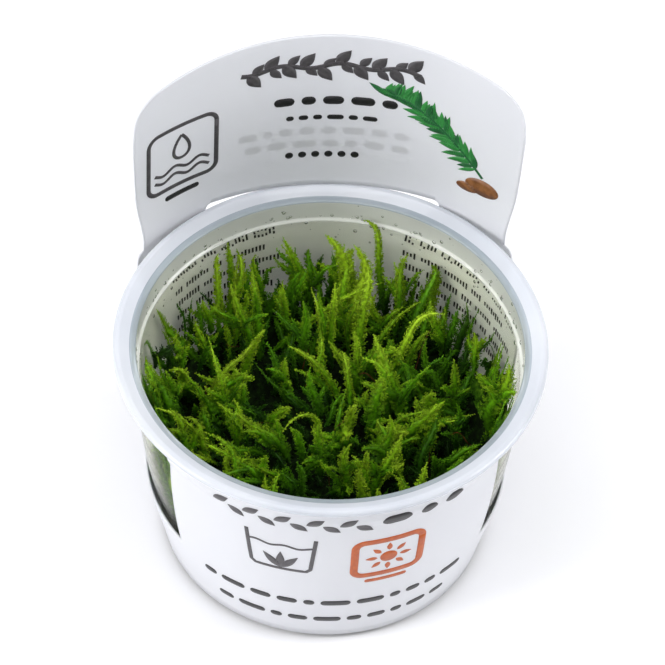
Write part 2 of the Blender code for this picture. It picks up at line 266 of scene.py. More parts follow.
# The thin wall is clear. Its index is set far below polypropylene's 1.49, at which it would mirror
# the pale floor at the camera's low angle and hide the moss. Damp fogs the neck. The lip is clearer
# than the flange, so the dark moss shows through it, and it is painted a darker blue grey as painted
# shade. The flange, which is thicker, carries light to its edge and looks white: that light is
# painted, as a milky white colour.
clear_wall = moulded_polypropylene("clear_polypropylene_wall", 1.0, 1.06, "F2F3E2", "FAFBF0", 0.06)
fogged_neck = moulded_polypropylene("fogged_polypropylene_neck", 0.47, 1.49, "E8EAE2", "F6F8F0")
cloudy_lip_painted_shade = moulded_polypropylene("cloudy_polypropylene_lip_painted_shade", 0.55, 1.49, "BAC6CF", "CDD7DE")
milky_flange_painted_light = moulded_polypropylene("milky_polypropylene_flange_painted_light", 0.35, 1.49, "DFE3EB", "ECEFF5")
moulded_cup = add_piece(
    "moulded_cup",
    *turned(softened(cup_profile, CORNER_SOFTENING), CUP_SEGMENTS),
    clear_wall,
    "clear_polypropylene",
    replaced=["cup"],
)
paint_faces(moulded_cup, fogged_neck, lambda x, y, z: z > LEDGE_HEIGHT - 0.4)
# The lip's darker blue grey is painted shade.
paint_faces(
    moulded_cup, cloudy_lip_painted_shade, lambda x, y, z: (z > LIP_HEIGHT - 0.6) & (np.hypot(x, y) > NECK_INNER)
)
# The flange's milky white is painted light.
paint_faces(moulded_cup, milky_flange_painted_light, lambda x, y, z: np.hypot(x, y) > LIP_RADIUS + 0.7)


# Condensed water
# Damp from the moss settles as small drops on the inside of the neck and of the wall just below the
# ledge. They hang where they formed.
DROPS = 230
DROP_SEGMENTS = 8


def joined(shapes):
    """Joins shapes, each its points and its groups of faces, into one shape with as many groups."""
    starts = np.cumsum([0] + [len(points) for points, _ in shapes])
    groups = zip(*([group + start for group in faces] for (_, faces), start in zip(shapes, starts)))
    return np.concatenate([points for points, _ in shapes]), [np.concatenate(group) for group in groups]


def water_drops(count):
    """Each drop is a ball of rings, flattened along the wall's normal and a little taller than wide."""
    angles = draw.normal(0.25 * math.pi, 0.9, count)
    angles = np.where(draw.uniform(0, 1, count) < 0.35, angles + 0.55 * math.pi, angles)
    heights = LEDGE_HEIGHT + np.where(
        draw.uniform(0, 1, count) < 0.6, draw.normal(0.6, 0.5, count), draw.uniform(-6, 5, count)
    )
    radii = 0.12 + 0.4 * draw.uniform(0, 1, count) ** 3
    normal = np.stack([-np.cos(angles), -np.sin(angles), 0 * angles], -1)
    aside = np.stack([-np.sin(angles), np.cos(angles), 0 * angles], -1)
    wall = np.where(heights > LEDGE_HEIGHT - 0.2, NECK_INNER, wall_inner(heights))
    centres = -normal * (wall - 0.3 * radii)[:, None] + (0, 0, 1) * heights[:, None]
    around = np.linspace(0, math.tau, DROP_SEGMENTS, endpoint=False)[None, :]
    over = np.radians((-60, -20, 20, 60))[:, None]
    ball = [np.cos(over) * np.cos(around), np.cos(over) * np.sin(around), np.sin(over) + 0 * around]
    axes = np.stack([aside, np.broadcast_to((0.0, 0.0, 1.15), aside.shape), 0.45 * normal], 1)
    drops = []
    for centre, drop_axes in zip(centres, axes * radii[:, None, None]):
        points, faces = closed_rings(np.stack(ball, -1) @ drop_axes, -drop_axes[2], drop_axes[2])
        drops.append((points + centre, faces))
    return joined(drops)


# Clean water: clear and glossy, shaped by its own skin, with a faint unevenness.
clear_water = {"Transmission Weight": 1.0, "IOR": 1.33, "Roughness": 0.02}
condensed_water, _, _ = mottled("condensed_water", clear_water, 1.111, {}, relief=(0.1, 0.05))
draw = np.random.default_rng(31)
add_piece("condensed_drops", *water_drops(DROPS), condensed_water, "clear_polypropylene", sharp=180)


# Nutrient gel
# A poured layer of agar gel fills the foot of the cup and feeds the culture. It is pale and
# faintly cloudy, mottled with olive at random.
agar_gel, _, _ = mottled(
    "agar_gel_poured",
    {"Transmission Weight": 0.45, "IOR": 1.34, "Roughness": 0.22},
    6.25,
    {"Detail": 4.0},
    [(0.35, "5E6238"), (0.65, "A3A27C")],
)
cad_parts["nutrient_gel"].material_slots[0].material = agar_gel


# Moss bed
# The lower moss is a felt of old shoots, pressed against the wall of the cup and standing in the
# gel. Through the side windows it shows as dark upright streaks with paler gaps.
GEL_LEVEL = 10.0
GEL_GAP = 0.3
BED_LEVEL = 29.0
BED_CROWN = 2.5
BED_HOLLOW = 5.5
CLIMB = 12.0
CLIMB_WIDTH = 2.2
WALL_MARGIN = 38.0
WALL_CLEARANCE = 0.25
FELT_GAP = 1.3
BED_SEGMENTS = 288


def bed_top(x, y):
    """Height of the bed: a low crown with three waves of lumps."""
    crown = BED_CROWN * (1 - (x * x + y * y) / 40.0**2)
    lumps = 1.7 * np.sin(0.36 * x + 0.8) * np.cos(0.33 * y - 0.4)
    lumps += 0.9 * np.sin(0.55 * x - 0.47 * y + 1.3) + 0.6 * np.cos(0.8 * y + 0.6 * x)
    return BED_LEVEL + crown + lumps


def at_window(x, y):
    """Share from 0 to 1 of a place's nearness to the windows, which face both sides, a little forward."""
    turn = np.arctan2(y, np.abs(x)) + math.radians(13)
    return np.clip((math.radians(38) - np.abs(turn)) / math.radians(12), 0, 1)


def hollowed_top(x, y):
    """The bed sinks between the fronds: its middle lies lower than its edge, by a smooth step, and
    it climbs the wall beside the windows, as a bell curve of the distance from the wall."""
    inward = np.clip((WALL_MARGIN - np.hypot(x, y)) / 8, 0, 1)
    from_wall = np.maximum(wall_inner(BED_LEVEL) - np.hypot(x, y), 0)
    climb = CLIMB * at_window(x, y) * np.exp(-((from_wall / CLIMB_WIDTH) ** 2))
    return bed_top(x, y) + climb - BED_HOLLOW * inward * inward * (3 - 2 * inward)


def moss_bed_rings():
    """Rings up the side and in over the top; the side ripples with sines of the angle and height."""
    angles = np.linspace(0, math.tau, BED_SEGMENTS, endpoint=False)[None, :]
    up_side = np.linspace(0, 1, 26)[:, None]
    top_of_side = BED_LEVEL - 3 + CLIMB * at_window(np.cos(angles), np.sin(angles))
    heights = GEL_LEVEL + GEL_GAP + up_side * (top_of_side - GEL_LEVEL - GEL_GAP)
    ripple = 0.35 * np.sin(23 * angles + 2 * np.sin(0.4 * heights))
    ripple = ripple + 0.3 * np.sin(57 * angles - 0.5 * heights) + 0.2 * np.sin(91 * angles + 1.3 * heights)
    side_radius = wall_inner(heights) - FELT_GAP + 0.5 * ripple
    side = np.stack([side_radius * np.cos(angles), side_radius * np.sin(angles), heights], -1)
    inward = np.linspace(0.985, 0.03, 60)[:, None]
    edge = wall_inner(top_of_side - 2) - 1.1
    x, y = inward * edge * np.cos(angles), inward * edge * np.sin(angles)
    rough = 0.3 * np.sin(2.9 * x + 1.1 * y) * np.sin(3.3 * y - 0.7 * x)
    rough = rough + 0.2 * np.sin(5.1 * x) * np.cos(4.7 * y)
    top = np.stack([x, y, hollowed_top(x, y) + rough - 1.5 * (inward > 0.95)], -1)
    return np.concatenate([side, top])


def matted_moss(name, stops, upright_share):
    """Old damp moss: strands some 1.6 mm apart, drawn out upright by the given share."""
    settings, texture = {"Roughness": 0.85, "Specular IOR Level": 0.1}, {"Detail": 5.0, "Roughness": 0.6}
    return mottled(name, settings, 1.613, texture, stops, (0.8, 0.6), upright_share)[0]


def near_wall(x, y, z, depth):
    """Whether a place lies within a depth of the wall's inner face."""
    return np.hypot(x, y) > wall_inner(z) - depth


# Felt between the shoots, painted nearly black as painted shade; green felt where it climbs beside
# the windows; and paler olive streaks pressed to the wall. The green and the olive are painted
# lighter, as painted light that comes in through the windows.
shaded_felt = matted_moss("shaded_moss_felt", [(0.35, "040801"), (0.55, "0C1B02"), (0.75, "1E3A05")], 1.0)
climbing_felt_painted_light = matted_moss("climbing_moss_felt_painted_light", [(0.35, "142A04"), (0.52, "3A660C"), (0.7, "6A921E")], 0.4)
pressed_felt_painted_light = matted_moss(
    "pressed_moss_felt_painted_light", [(0.32, "1A2E06"), (0.46, "446612"), (0.56, "6F902C"), (0.68, "A0AE66")], 0.15
)
moss_bed = add_piece(
    "moss_bed",
    *closed_rings(moss_bed_rings(), (0, 0, GEL_LEVEL + GEL_GAP), (0, 0, float(hollowed_top(0, 0)))),
    shaded_felt,
    "moss_shade",
    replaced=["moss_mat"],
)
# Beside the windows and against the wall the felt is painted lighter, as painted light.
paint_faces(moss_bed, climbing_felt_painted_light, lambda x, y, z: (at_window(x, y) > 0.02) & near_wall(x, y, z, 5))
paint_faces(moss_bed, pressed_felt_painted_light, lambda x, y, z: near_wall(x, y, z, 1.9) & (z < BED_LEVEL + 9))


# Fronds
# Christmas moss grows as flat upright fronds: a thin stem with branches to both sides, shortening
# to the tip like a small fir, all clad in overlapping leaves about a millimetre long.
BRANCH_STEP = 0.38
LEAF_STEP = 0.26
LEAF_LENGTH = 0.72
LEAF_WIDTH = 0.55
MOST_LEAVES = 16

# Foot x, foot y, tip x, tip y, tip height, half width, turn of the blade in degrees
FRONDS = (
    (-2, 35, -9, 35, 54, 1.4, 10),
    (-14, 35, -15, 36, 47, 1.3, -15),
    (6, 35, 3, 36, 50, 1.3, 20),
    (19, 31, 16, 33, 47, 1.4, -10),
    (27, 23, 24, 25, 43, 1.3, 15),
    (34, 14, 33, 16, 43, 1.3, -25),
    (36, -3, 39, -3, 54, 2.4, -35),
    (-32, 16, -33, 17, 43, 1.4, 25),
    (-25, 20, -29, 21, 43, 1.3, -10),
    (-16, 21, -21, 22, 53, 1.4, 15),
    (-18, 29, -17, 30, 42, 1.2, 30),
    (-25, 27, -27, 27, 42, 1.3, -5),
    (-19, 12, -29, 10, 37, 1.5, 0),
    (-9, 9, -9, 10, 42, 1.3, -20),
    (-9, -7, -21, -7, 44, 1.6, 5),
    (-13, -16, -28, -14, 42, 1.7, -5),
    (5, -5, -4, -6, 37, 1.4, 10),
    (17, 2, 10, 9, 51, 1.6, 10),
    (17, 18, 22, 18, 38, 1.2, -20),
    (13, 26, 12, 27, 44, 1.3, 10),
    (2, -19, 4, -19, 47, 1.6, 0),
    (9, -19, 15, -18, 49, 1.5, -10),
    (29, -6, 28, -4, 42, 1.3, 20),
    (22, -14, 33, -14, 40, 1.6, -5),
    (10, 2, 9, 2, 40, 1.3, -30),
    (-33, 4, -36, 5, 44, 1.4, -15),
    (-30, -7, -35, -6, 44, 1.5, 15),
    (-25, -22, -28, -21, 43, 1.5, -10),
    (-14, -27, -15, -26, 45, 1.5, 10),
    (-4, -33, -6, -33, 44, 1.4, -20),
    (8, -31, 9, -30, 45, 1.5, 15),
    (17, -25, 20, -24, 46, 1.6, -5),
    (27, -21, 31, -20, 44, 1.5, 20),
    (29, 5, 28, 7, 44, 1.3, 10),
    (23, 10, 22, 12, 45, 1.3, -15),
    (21, -4, 19, -3, 43, 1.4, 25),
    (8, 12, 6, 14, 46, 1.4, -5),
    (-2, 3, -4, 5, 44, 1.4, 15),
    (-4, 19, -5, 21, 48, 1.4, -10),
    (5, 27, 4, 28, 46, 1.3, 5),
    (-8, 28, -9, 29, 46, 1.3, -15),
    (-22, 4, -24, 5, 45, 1.4, 20),
    (-19, -3, -21, 0, 40, 1.3, -25),
    (-2, -12, -3, -11, 44, 1.5, 10),
    (13, -10, 13, -9, 44, 1.5, -10),
    (-6, -23, -8, -22, 45, 1.5, 5),
)


def unit(vectors):
    """Each vector over its own length."""
    return vectors / np.linalg.norm(vectors, axis=-1, keepdims=True)


def frond_line(t, foot, tip, turn, sway, arch):
    """The middle line of a frond with the ways along it, to its side and out of its face.

    It is a parabola from foot to tip whose knee stands at the share arch of the rise, so that it
    rises first and leans after, plus one sine wave to the side of a width given by sway.
    """
    knee = foot + 0.3 * (tip - foot)
    knee[2] = foot[2] + arch * (tip[2] - foot[2])
    around = math.radians(turn)
    facing = unit(np.array([math.sin(around), -math.cos(around), 0.4]))
    along = (knee - foot) * (1 - t) + (tip - knee) * t
    side = unit(np.cross(unit(along), facing))
    centre = foot * (1 - t) ** 2 + knee * 2 * t * (1 - t) + tip * t**2
    centre = centre + side * sway * np.sin(math.tau * t)
    along = unit(along + side * sway * math.pi * np.cos(math.tau * t))
    side = unit(np.cross(along, facing))
    return centre, along, side, np.cross(side, along)


def frond_taper(t):
    """Width of a blade along it: it opens from the foot, keeps its width, and draws to a point."""
    return np.minimum(1, 0.45 + 3 * t) * (1 - t**2.2) ** 0.9


def frond_leaves(line, length, half_width):
    """Leaves of one frond, as arrays of base, direction, face, length, width and youth.

    Branches leave the stem in pairs at an angle that closes toward the tip, each as long as the
    blade is wide there, and leaves stand alternately to both sides of a branch.
    """
    rows = max(int(length / BRANCH_STEP), 5)
    t = np.repeat((np.arange(rows) + 0.5) / rows, 2)[:, None]
    to_side = np.tile((-1.0, 1.0), rows)[:, None]
    centre, along, side, front = frond_line(t, *line)
    opening = np.radians(52 - 24 * t + draw.normal(0, 5, t.shape))
    branch = unit(
        along * np.cos(opening) + side * to_side * np.sin(opening) + front * draw.normal(0, 0.2, t.shape)
    )
    reach = half_width * frond_taper(t) * draw.uniform(0.75, 1.12, t.shape) / np.sin(opening)

    out = np.arange(MOST_LEAVES) * LEAF_STEP
    kept = out[None] < np.maximum(reach - 0.4 * LEAF_LENGTH, 0.01)
    kept &= (out[None] > 0.35 * reach) | (draw.uniform(0, 1, kept.shape) < 0.6)
    shape = kept.shape
    base = centre[:, None] + branch[:, None] * out[None, :, None]
    across = unit(np.cross(front, branch))[:, None]
    turns = np.where((np.arange(MOST_LEAVES) + np.arange(2 * rows)[:, None] // 2) % 2, 1.0, -1.0)[..., None]
    spread = np.radians(draw.normal(32, 12, shape))[..., None]
    direction = unit(
        branch[:, None] * np.cos(spread)
        + across * turns * np.sin(spread)
        + front[:, None] * draw.normal(0, 0.4, shape)[..., None]
    )
    face = unit(front[:, None] + draw.normal(0, 0.3, (*shape, 3)))
    shrink = 1 - 0.3 * out[None] / np.maximum(reach, LEAF_STEP)
    size = LEAF_LENGTH * shrink * (0.6 + 0.4 * frond_taper(t)) * draw.uniform(0.8, 1.25, shape)
    # Youth is painted darker toward the frond's foot and its stem, as painted shade.
    youth = np.clip(0.35 + 0.65 * t + 0.1 * out[None] / half_width, 0, 1)
    width = LEAF_WIDTH * size / LEAF_LENGTH
    return [value[kept] for value in (base, direction, face, size, width, youth)]


def folded_leaves(base, direction, face, length, width):
    """Each leaf is a thin folded diamond with four faces: base, two edges set back, and tip."""
    across = unit(np.cross(face, direction))
    keel = np.cross(direction, across)
    middle = base + direction * (0.42 * length)[:, None] - keel * (0.16 * width)[:, None]
    wing = across * (0.5 * width)[:, None]
    tip = base + direction * length[:, None]
    points = np.stack([base, middle - wing, middle + wing, tip], 1).reshape(-1, 3)
    first = 4 * np.arange(len(base))[:, None]
    faces = [first + corners for corners in ((0, 2, 3), (0, 3, 1), (0, 1, 2), (1, 3, 2))]
    return points, np.concatenate(faces)


def frond_blade(line, length, half_width):
    """The body of a frond, of close-set stems and branches: a lens section, over half as wide as
    the leaves reach, swept along the frond's line with small teeth, and closed at the ends."""
    t = np.linspace(0, 0.97, max(int(length / 0.6), 6))[:, None]
    centre, _, side, front = frond_line(t, *line)
    wide = 0.62 * half_width * frond_taper(t)
    right = wide * draw.uniform(0.7, 1.1, t.shape)
    left = wide * draw.uniform(0.7, 1.1, t.shape)
    thick = 0.22 * wide + 0.08
    around = [side * right, front * thick, -side * left, -front * thick]
    rings = np.stack([centre + way for way in around], 1)
    return t, closed_rings(rings, line[0], line[1])


def kept_inside(points):
    """Draws any point that would pass through the cup's wall in to just inside it."""
    radius = np.linalg.norm(points[:, :2], axis=1)
    limit = wall_inner(np.minimum(points[:, 2], LEDGE_HEIGHT)) - WALL_CLEARANCE
    points[:, :2] *= np.minimum(1, limit / np.maximum(radius, 0.01))[:, None]
    return points


# Moss leaves, one cell thick and slightly glossy: yellow green at the growing tips, deep green lower
# down, and painted darker still toward each frond's foot and stem as painted shade. Each leaf
# differs a little from the next.
leaf_skin = {"Roughness": 0.5, "Specular IOR Level": 0.15}
moss_leaf, shader, scales = mottled(
    "moss_leaf_living", leaf_skin, 0.7692, {"Detail": 2.0}, relief=(0.7, 0.3)
)
youth_and_shade_value = add_node(moss_leaf, "ShaderNodeAttribute", {"attribute_name": "youth"})
chance_value = add_node(moss_leaf, "ShaderNodeAttribute", {"attribute_name": "chance"})
age_and_shade_stops = [(0.0, "0A1A02"), (0.25, "2A5606"), (0.5, "5C980C"), (0.8, "96C020"), (1.0, "A4C82A")]
age_and_shade_colour = add_node(
    moss_leaf, "ShaderNodeValToRGB", {"stops": age_and_shade_stops}, {"Fac": youth_and_shade_value.outputs["Fac"]}
)
span = {"To Min": 0.65, "To Max": 1.3}
leaf_light = add_node(moss_leaf, "ShaderNodeMapRange", span, {"Value": chance_value.outputs["Fac"]})
span = {"From Min": 0.35, "From Max": 0.65, **span}
scale_light = add_node(moss_leaf, "ShaderNodeMapRange", span, {"Value": scales.outputs["Fac"]})
both_lights = add_node(
    moss_leaf,
    "ShaderNodeMath",
    {"operation": "MULTIPLY"},
    {0: leaf_light.outputs["Result"], 1: scale_light.outputs["Result"]},
)
leaf_colour = add_node(
    moss_leaf,
    "ShaderNodeHueSaturation",
    links={"Color": age_and_shade_colour.outputs["Color"], "Value": both_lights.outputs["Value"]},
)
wire(moss_leaf, leaf_colour.outputs["Color"], shader.inputs["Base Color"])


def add_moss(name, plants, replaced=()):
    """Joins many fronds in one piece, leaf and blade, each point with its youth and chance values."""
    points, fours, threes, youths_and_shades, chances = [], [], [], [], []
    count = 0
    for foot, tip, turn, half_width, vigour_and_light, arch in plants:
        length = float(np.linalg.norm(tip - foot))
        line = (foot, tip, turn, draw.normal(0, 0.04) * length, arch)
        light = draw.uniform(0.1, 0.7)
        *leaves, youth = frond_leaves(line, length, half_width)
        leaf_points, leaf_faces = folded_leaves(*leaves)
        stations, (blade_points, (blade_sides, *blade_ends)) = frond_blade(line, length, half_width)
        blade_youth_and_shade = 0.35 + 0.6 * np.append(np.repeat(stations, 4), (0.0, 1.0))
        points += [leaf_points, blade_points]
        threes += [leaf_faces + count] + [group + count + len(leaf_points) for group in blade_ends]
        fours.append(blade_sides + count + len(leaf_points))
        count += len(leaf_points) + len(blade_points)
        youths_and_shades += [vigour_and_light * np.repeat(youth, 4), 0.85 * vigour_and_light * blade_youth_and_shade]
        leaf_chance = light + draw.uniform(-0.25, 0.35, len(youth))
        chances += [np.repeat(leaf_chance, 4), np.full(len(blade_points), 0.7 * light)]
    placed = kept_inside(np.concatenate(points))
    faces = [np.concatenate(fours), np.concatenate(threes)]
    piece = add_piece(name, placed, faces, moss_leaf, "moss_frond_green", replaced, sharp=0)
    for label, values in (("youth", youths_and_shades), ("chance", chances)):
        layer = piece.data.attributes.new(label, "FLOAT", "POINT")
        layer.data.foreach_set("value", np.concatenate(values).astype(np.float32))
    return piece


def patch_light(x, y):
    """Slow waves across the cup, 15 to 35 mm long: patches of stronger and weaker growth, and of painted
    light and shade.
    """
    bands = 0.36 * np.cos(0.185 * (x - 10) + 0.3 * np.sin(0.15 * y)) + 0.004 * y
    return 0.86 + bands + 0.22 * np.sin(0.36 * x - 0.28 * y + 0.6)


def side_fronds(plant, count):
    """Fronds that fork from one frond's lower half, to alternate sides, at 18 to 42 degrees."""
    foot, tip, turn, half_width, vigour_and_light, arch = plant
    share = draw.uniform(0.1, 0.5, (count, 1))
    centre, along, side, front = frond_line(share, foot, tip, turn, 0.0, arch)
    opening = np.radians(draw.uniform(18, 42, (count, 1)))
    to_side = np.where(np.arange(count) % 2, 1.0, -1.0)[:, None]
    heading = unit(
        along * np.cos(opening) + side * to_side * np.sin(opening) + front * draw.normal(0, 0.3, (count, 1))
    )
    length = (1 - share) * np.linalg.norm(tip - foot) * draw.uniform(0.45, 0.8, (count, 1))
    turns = turn + draw.normal(0, 20, count)
    widths = half_width * draw.uniform(0.6, 0.9, count)
    vigours_and_lights = vigour_and_light * draw.uniform(0.7, 1.0, count)
    return list(zip(centre, centre + heading * length, turns, widths, vigours_and_lights, np.full(count, 0.6)))


tall_fronds = []
for foot_x, foot_y, tip_x, tip_y, tip_z, half_width, turn in FRONDS:
    foot = np.array([foot_x, foot_y, hollowed_top(foot_x, foot_y)])
    tip = np.array([tip_x, tip_y, tip_z], float)
    # The same waves paint each frond's colour lighter or darker, as painted light and shade.
    vigour_and_light = draw.uniform(0.95, 1.1) * min(1.0, 0.2 + patch_light(tip_x, tip_y))
    plant = (foot, tip, turn, half_width * draw.uniform(0.85, 1.25), vigour_and_light, 0.6)
    tall_fronds.append([plant] + side_fronds(plant, 3))
for k in range(2):
    stood_for = [f"moss_frond_{number:02d}" for number in range(k + 1, len(FRONDS) + 1, 2)]
    add_moss(f"moss_tall_fronds_{k + 1}", sum(tall_fronds[k::2], []), stood_for)


# Middle fronds
# Between the tall fronds stand younger ones of the same moss, about half as high. They lean
# every way, most of them outward. A few are broad fans, and the longest arch over.
MIDDLE_FRONDS = 142
GOLDEN_TURN = math.pi * (3 - math.sqrt(5))


def scattered(count, field, jitter):
    """Places on the bed: a sunflower spiral, radius as the square root of the order, and jitter."""
    order = np.arange(count)
    radius, angle = field * np.sqrt((order + 0.5) / count), order * GOLDEN_TURN
    plan = np.stack([radius * np.cos(angle), radius * np.sin(angle)], -1)
    return plan + draw.normal(0, jitter, (count, 2))


def leaning_fronds(count, field, heights, lean, drift, widths, vigours_and_lights):
    """Fronds scattered on the bed, leaning outward by a share of their radius and by chance.

    The square of a draw sets the width, so that most are narrow and some are broad fans. Slow
    waves across the cup set their height, and paint their colour lighter and darker in patches, as
    painted light and shade.
    """
    plan = scattered(count, field, 1.4)
    feet = np.column_stack([plan, hollowed_top(plan[:, 0], plan[:, 1]) - 0.6])
    away = plan * draw.uniform(0.0, lean, (count, 1)) + draw.normal(0, drift, (count, 2))
    rise = draw.uniform(*heights, count) * np.clip(0.1 + patch_light(*plan.T), 0.5, 1.15)
    rise = rise * (1 + 0.35 * np.clip(plan[:, 1] / 35, 0, 1))
    tips = feet + np.column_stack([away, rise])
    half_widths = widths[0] + (widths[1] - widths[0]) * draw.uniform(0, 1, count) ** 2
    turns, vigour_and_light, arches = (draw.uniform(*ends, count) for ends in ((-60, 60), vigours_and_lights, (0.5, 1.05)))
    return list(zip(feet, tips, turns, half_widths, vigour_and_light * patch_light(*plan.T), arches))


middle_fronds = leaning_fronds(MIDDLE_FRONDS, 37.5, (8, 19), 0.32, 5.0, (1.1, 2.7), (0.65, 1.25))
for k in range(3):
    add_moss(f"moss_middle_fronds_{k + 1}", middle_fronds[k::3])

ARCHING_FRONDS = 40
arching_fronds = leaning_fronds(ARCHING_FRONDS, 32.0, (11, 17), 0.3, 8.5, (1.0, 1.7), (0.95, 1.25))
add_moss("moss_arching_fronds", arching_fronds)


# Low shoots
# Hundreds of short shoots of the same moss close the bed. They are the oldest part of it, grow
# straight out of the felt, and are painted darkest, partly as their own old colour and partly as
# painted shade deep in the moss.
LOW_SHOOTS = 320
# Their low vigour_and_light paints them dark, as painted shade.
low_shoots = leaning_fronds(LOW_SHOOTS, 39.0, (3.0, 8.0), 0.08, 2.5, (0.8, 2.2), (0.15, 0.55))
for k in range(2):
    add_moss(f"moss_low_shoots_{k + 1}", low_shoots[k::2])


# Wall fronds
# Fronds that grew up against the wall are pressed flat on it. They stand closest at the sides,
# where they show through the windows of the sheet.
WINDOW_FRONDS = 32
OTHER_WALL_FRONDS = 44
WALL_FROND_FOOT = 14.0
INNER_ROW = 3.6
WINDOW_MIDDLES = (-13, 193)
WINDOW_HALF = 25

at_windows = [np.linspace(at - WINDOW_HALF, at + WINDOW_HALF, WINDOW_FRONDS) for at in WINDOW_MIDDLES]
elsewhere = np.linspace(0, math.tau, OTHER_WALL_FRONDS, endpoint=False)
around = np.concatenate([np.radians(at_windows).ravel(), elsewhere])
around = around + draw.normal(0, 0.03, len(around))
reach_up = np.where(np.arange(len(around)) < 2 * WINDOW_FRONDS, 45.5, 42 + 2 * np.cos(around - 2.2))
reach_up = reach_up + draw.normal(0, 2.0, len(around))
wall_fronds = []
for k, (angle, top) in enumerate(zip(around, reach_up)):
    inset, low = (INNER_ROW, BED_LEVEL - 2) if k % 3 == 0 else (0.6, WALL_FROND_FOOT)
    foot = np.array([math.cos(angle), math.sin(angle), 0]) * (wall_inner(low) - inset) + (0, 0, low)
    slant = angle + draw.normal(0, 0.05)
    tip = np.array([math.cos(slant), math.sin(slant), 0]) * (wall_inner(top) - 0.7 * inset) + (0, 0, top)
    half_width, vigour_and_light = draw.uniform(1.0, 2.0), draw.uniform(0.4, 0.85)
    wall_fronds.append((foot, tip, math.degrees(angle) + 90, half_width, vigour_and_light, 0.5))
for k in range(2):
    add_moss(f"moss_wall_fronds_{k + 1}", wall_fronds[k::2])


# Old stems
# A few old stems of the moss have died and lost their leaves. They lie bare and reddish brown
# among the shoots.
OLD_STEMS = 16


def stem_tubes(count):
    """Each stem is a tube with five sides, swept along a frond's line and drawn thin to its tip."""
    plan = scattered(count, 36.0, 3.0)
    feet = np.column_stack([plan, hollowed_top(plan[:, 0], plan[:, 1]) + 3])
    tips = feet + np.column_stack([draw.normal(0, 4.0, (count, 2)), draw.uniform(5, 10, count)])
    t = np.linspace(0, 1, 9)[:, None]
    round_stem = np.linspace(0, math.tau, 5, endpoint=False)[None, :, None]
    tubes = []
    for foot, tip in zip(feet, tips):
        centre, _, side, front = frond_line(t, foot, tip, draw.uniform(-90, 90), draw.normal(0, 0.5), 0.7)
        outward = side[:, None] * np.cos(round_stem) - front[:, None] * np.sin(round_stem)
        rings = centre[:, None] + (0.16 - 0.1 * t[:, None]) * outward
        tubes.append(closed_rings(rings, centre[0], centre[-1]))
    points, faces = joined(tubes)
    return kept_inside(points), faces


# Dead moss stems: dull, reddish brown, with darker joints.
dull_stem = {"Roughness": 0.7, "Specular IOR Level": 0.2}
dead_stem, _, _ = mottled(
    "dead_moss_stem", dull_stem, 2.0, {"Detail": 2.0}, [(0.35, "2C180A"), (0.65, "6E4020")]
)
add_piece("moss_old_stems", *stem_tubes(OLD_STEMS), dead_stem, "moss_shade")


# Wrap-round sheet
# One die-cut sheet of white printed polypropylene is wrapped round the cup. It hugs the wall, has
# a window at each side, and its header stands up behind, with a slot that holds the flange.
SHEET = 0.4
SHEET_GAP = 0.45
CAD_SHEET = 0.5
ORANGE_PEEL = 1.111
SHEET_FOOT = 1.5
SHEET_TOP = 107.0
HEADER_PLAN_RADIUS = 61.3
HEADER_MIDDLE = 46.3
HEADER_MEAN_RADIUS = 49.0
HEADER_TOP_RADIUS = 200.0
HEADER_TUCK = 1.3
HEADER_TUCK_HEIGHT = 14.0
HEADER_CORNER = 9.0
HEADER_EDGE_ANGLE = 53.5
HEADER_FLARE_ANGLE = 4.6
SLOT_END_ANGLE = 31.2
SLOT_BULGE_ANGLE = 1.7
SLOT_BOTTOM = 56.3
SLOT_TOP = 59.2
SHOULDER_DROP = 1.5
SHOULDER_SPAN = 14.0
SHOULDER_START = 47.0
BACK_PANEL_ANGLE = 80.0
FRONT_PANEL_ANGLE = 125.0
WINDOW_SILL = 19.5
FLARE_START = 45.0
FLARE_END = 57.0
NECK_START = 48.0
NECK_RISE = 3.0


def smooth_step(value):
    """A smooth step from 0 to 1: three times the square less twice the cube."""
    held = np.clip(value, 0, 1)
    return held * held * (3 - 2 * held)


def header_radius(angle, height):
    """The header in plan: an arc flatter than the cup, tucked in beside the flange."""
    offset = HEADER_PLAN_RADIUS - HEADER_MIDDLE
    across = offset * np.cos(np.radians(angle))
    arc = np.sqrt(across**2 + HEADER_PLAN_RADIUS**2 - offset**2) - across
    beside_slot = smooth_step((np.abs(angle) - SLOT_END_ANGLE) / (HEADER_EDGE_ANGLE - SLOT_END_ANGLE))
    above_flange = smooth_step((height - SLOT_TOP) / HEADER_TUCK_HEIGHT)
    return arc - HEADER_TUCK * beside_slot * (1 - above_flange)


def sheet_radius(angle, height):
    """Middle of the sheet: it hugs the wall low down and flares out to the header's arc."""
    clear = SHEET_GAP + CAD_SHEET / 2
    hug = wall_outer(height) + clear
    neck = smooth_step((height - NECK_START) / NECK_RISE)
    hug = hug + neck * (np.maximum(hug, NECK_OUTER + clear) - hug)
    flare = smooth_step((height - FLARE_START) / (FLARE_END - FLARE_START))
    shoulder = 1 - smooth_step((np.abs(angle) - HEADER_EDGE_ANGLE) / SHOULDER_SPAN)
    return hug + flare * shoulder * (header_radius(angle, height) - hug)


def header_top(fraction):
    """Height of the header's top edge: a flat arc with round corners."""
    half_width = math.radians(HEADER_EDGE_ANGLE + HEADER_FLARE_ANGLE) * HEADER_MEAN_RADIUS
    across = np.abs(fraction) * half_width
    height = SHEET_TOP - across**2 / (2 * HEADER_TOP_RADIUS)
    into_corner = np.maximum(0, across - (half_width - HEADER_CORNER))
    return height - HEADER_CORNER + np.sqrt(np.maximum(HEADER_CORNER**2 - into_corner**2, 0))


def sheet_points(angle, height, lift=0.0):
    """A place on the sheet: x = r sin a, y = r cos a, moved by lift along its outward normal."""

    def at(a, z):
        radius = sheet_radius(a, z)
        around = np.radians(a)
        return np.stack([radius * np.sin(around), radius * np.cos(around), z + 0 * radius], -1)

    here = at(angle, height)
    by_angle = at(angle + 0.05, height) - at(angle - 0.05, height)
    by_height = at(angle, height + 0.05) - at(angle, height - 0.05)
    return here + lift * unit(np.cross(by_height, by_angle))


